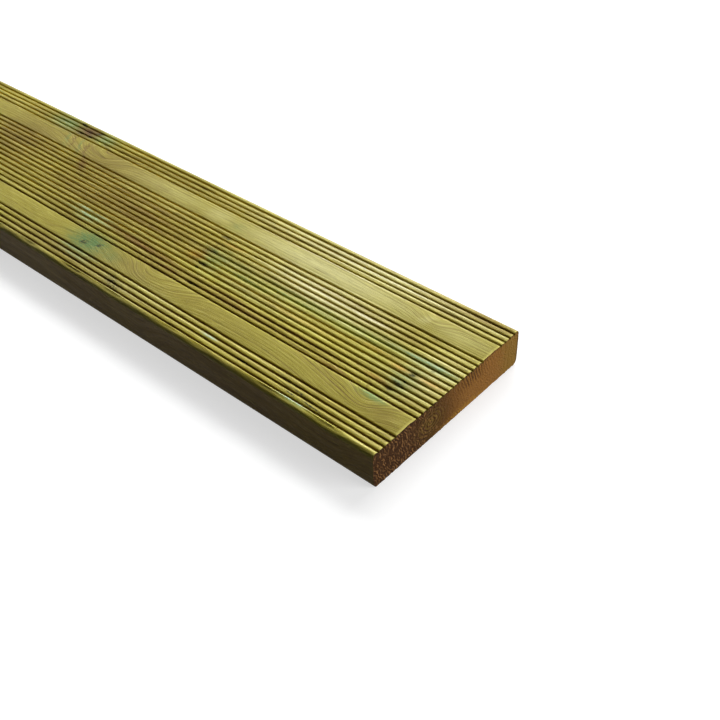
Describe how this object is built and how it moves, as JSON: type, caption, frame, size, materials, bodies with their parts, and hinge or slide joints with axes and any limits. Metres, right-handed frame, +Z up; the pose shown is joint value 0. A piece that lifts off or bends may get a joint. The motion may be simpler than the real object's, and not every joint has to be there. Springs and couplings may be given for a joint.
{
  "type": "decking board",
  "caption": "Planed softwood decking board with a reeded upper face, flat fixing bands, rounded long edges and square sawn ends, laid across joists as outdoor flooring.",
  "frame": {"origin": "middle of the underside, half way along the board and half way across it", "axes": "+X along the board and its grain, +Y across it, +Z up out of the grooved face"},
  "size_m": [1.8, 0.145, 0.028],
  "materials": {
    "treated_softwood": "matte"
  },
  "bodies": {
    "root": {"deck_board": "treated_softwood"}
  },
  "joints": []
}
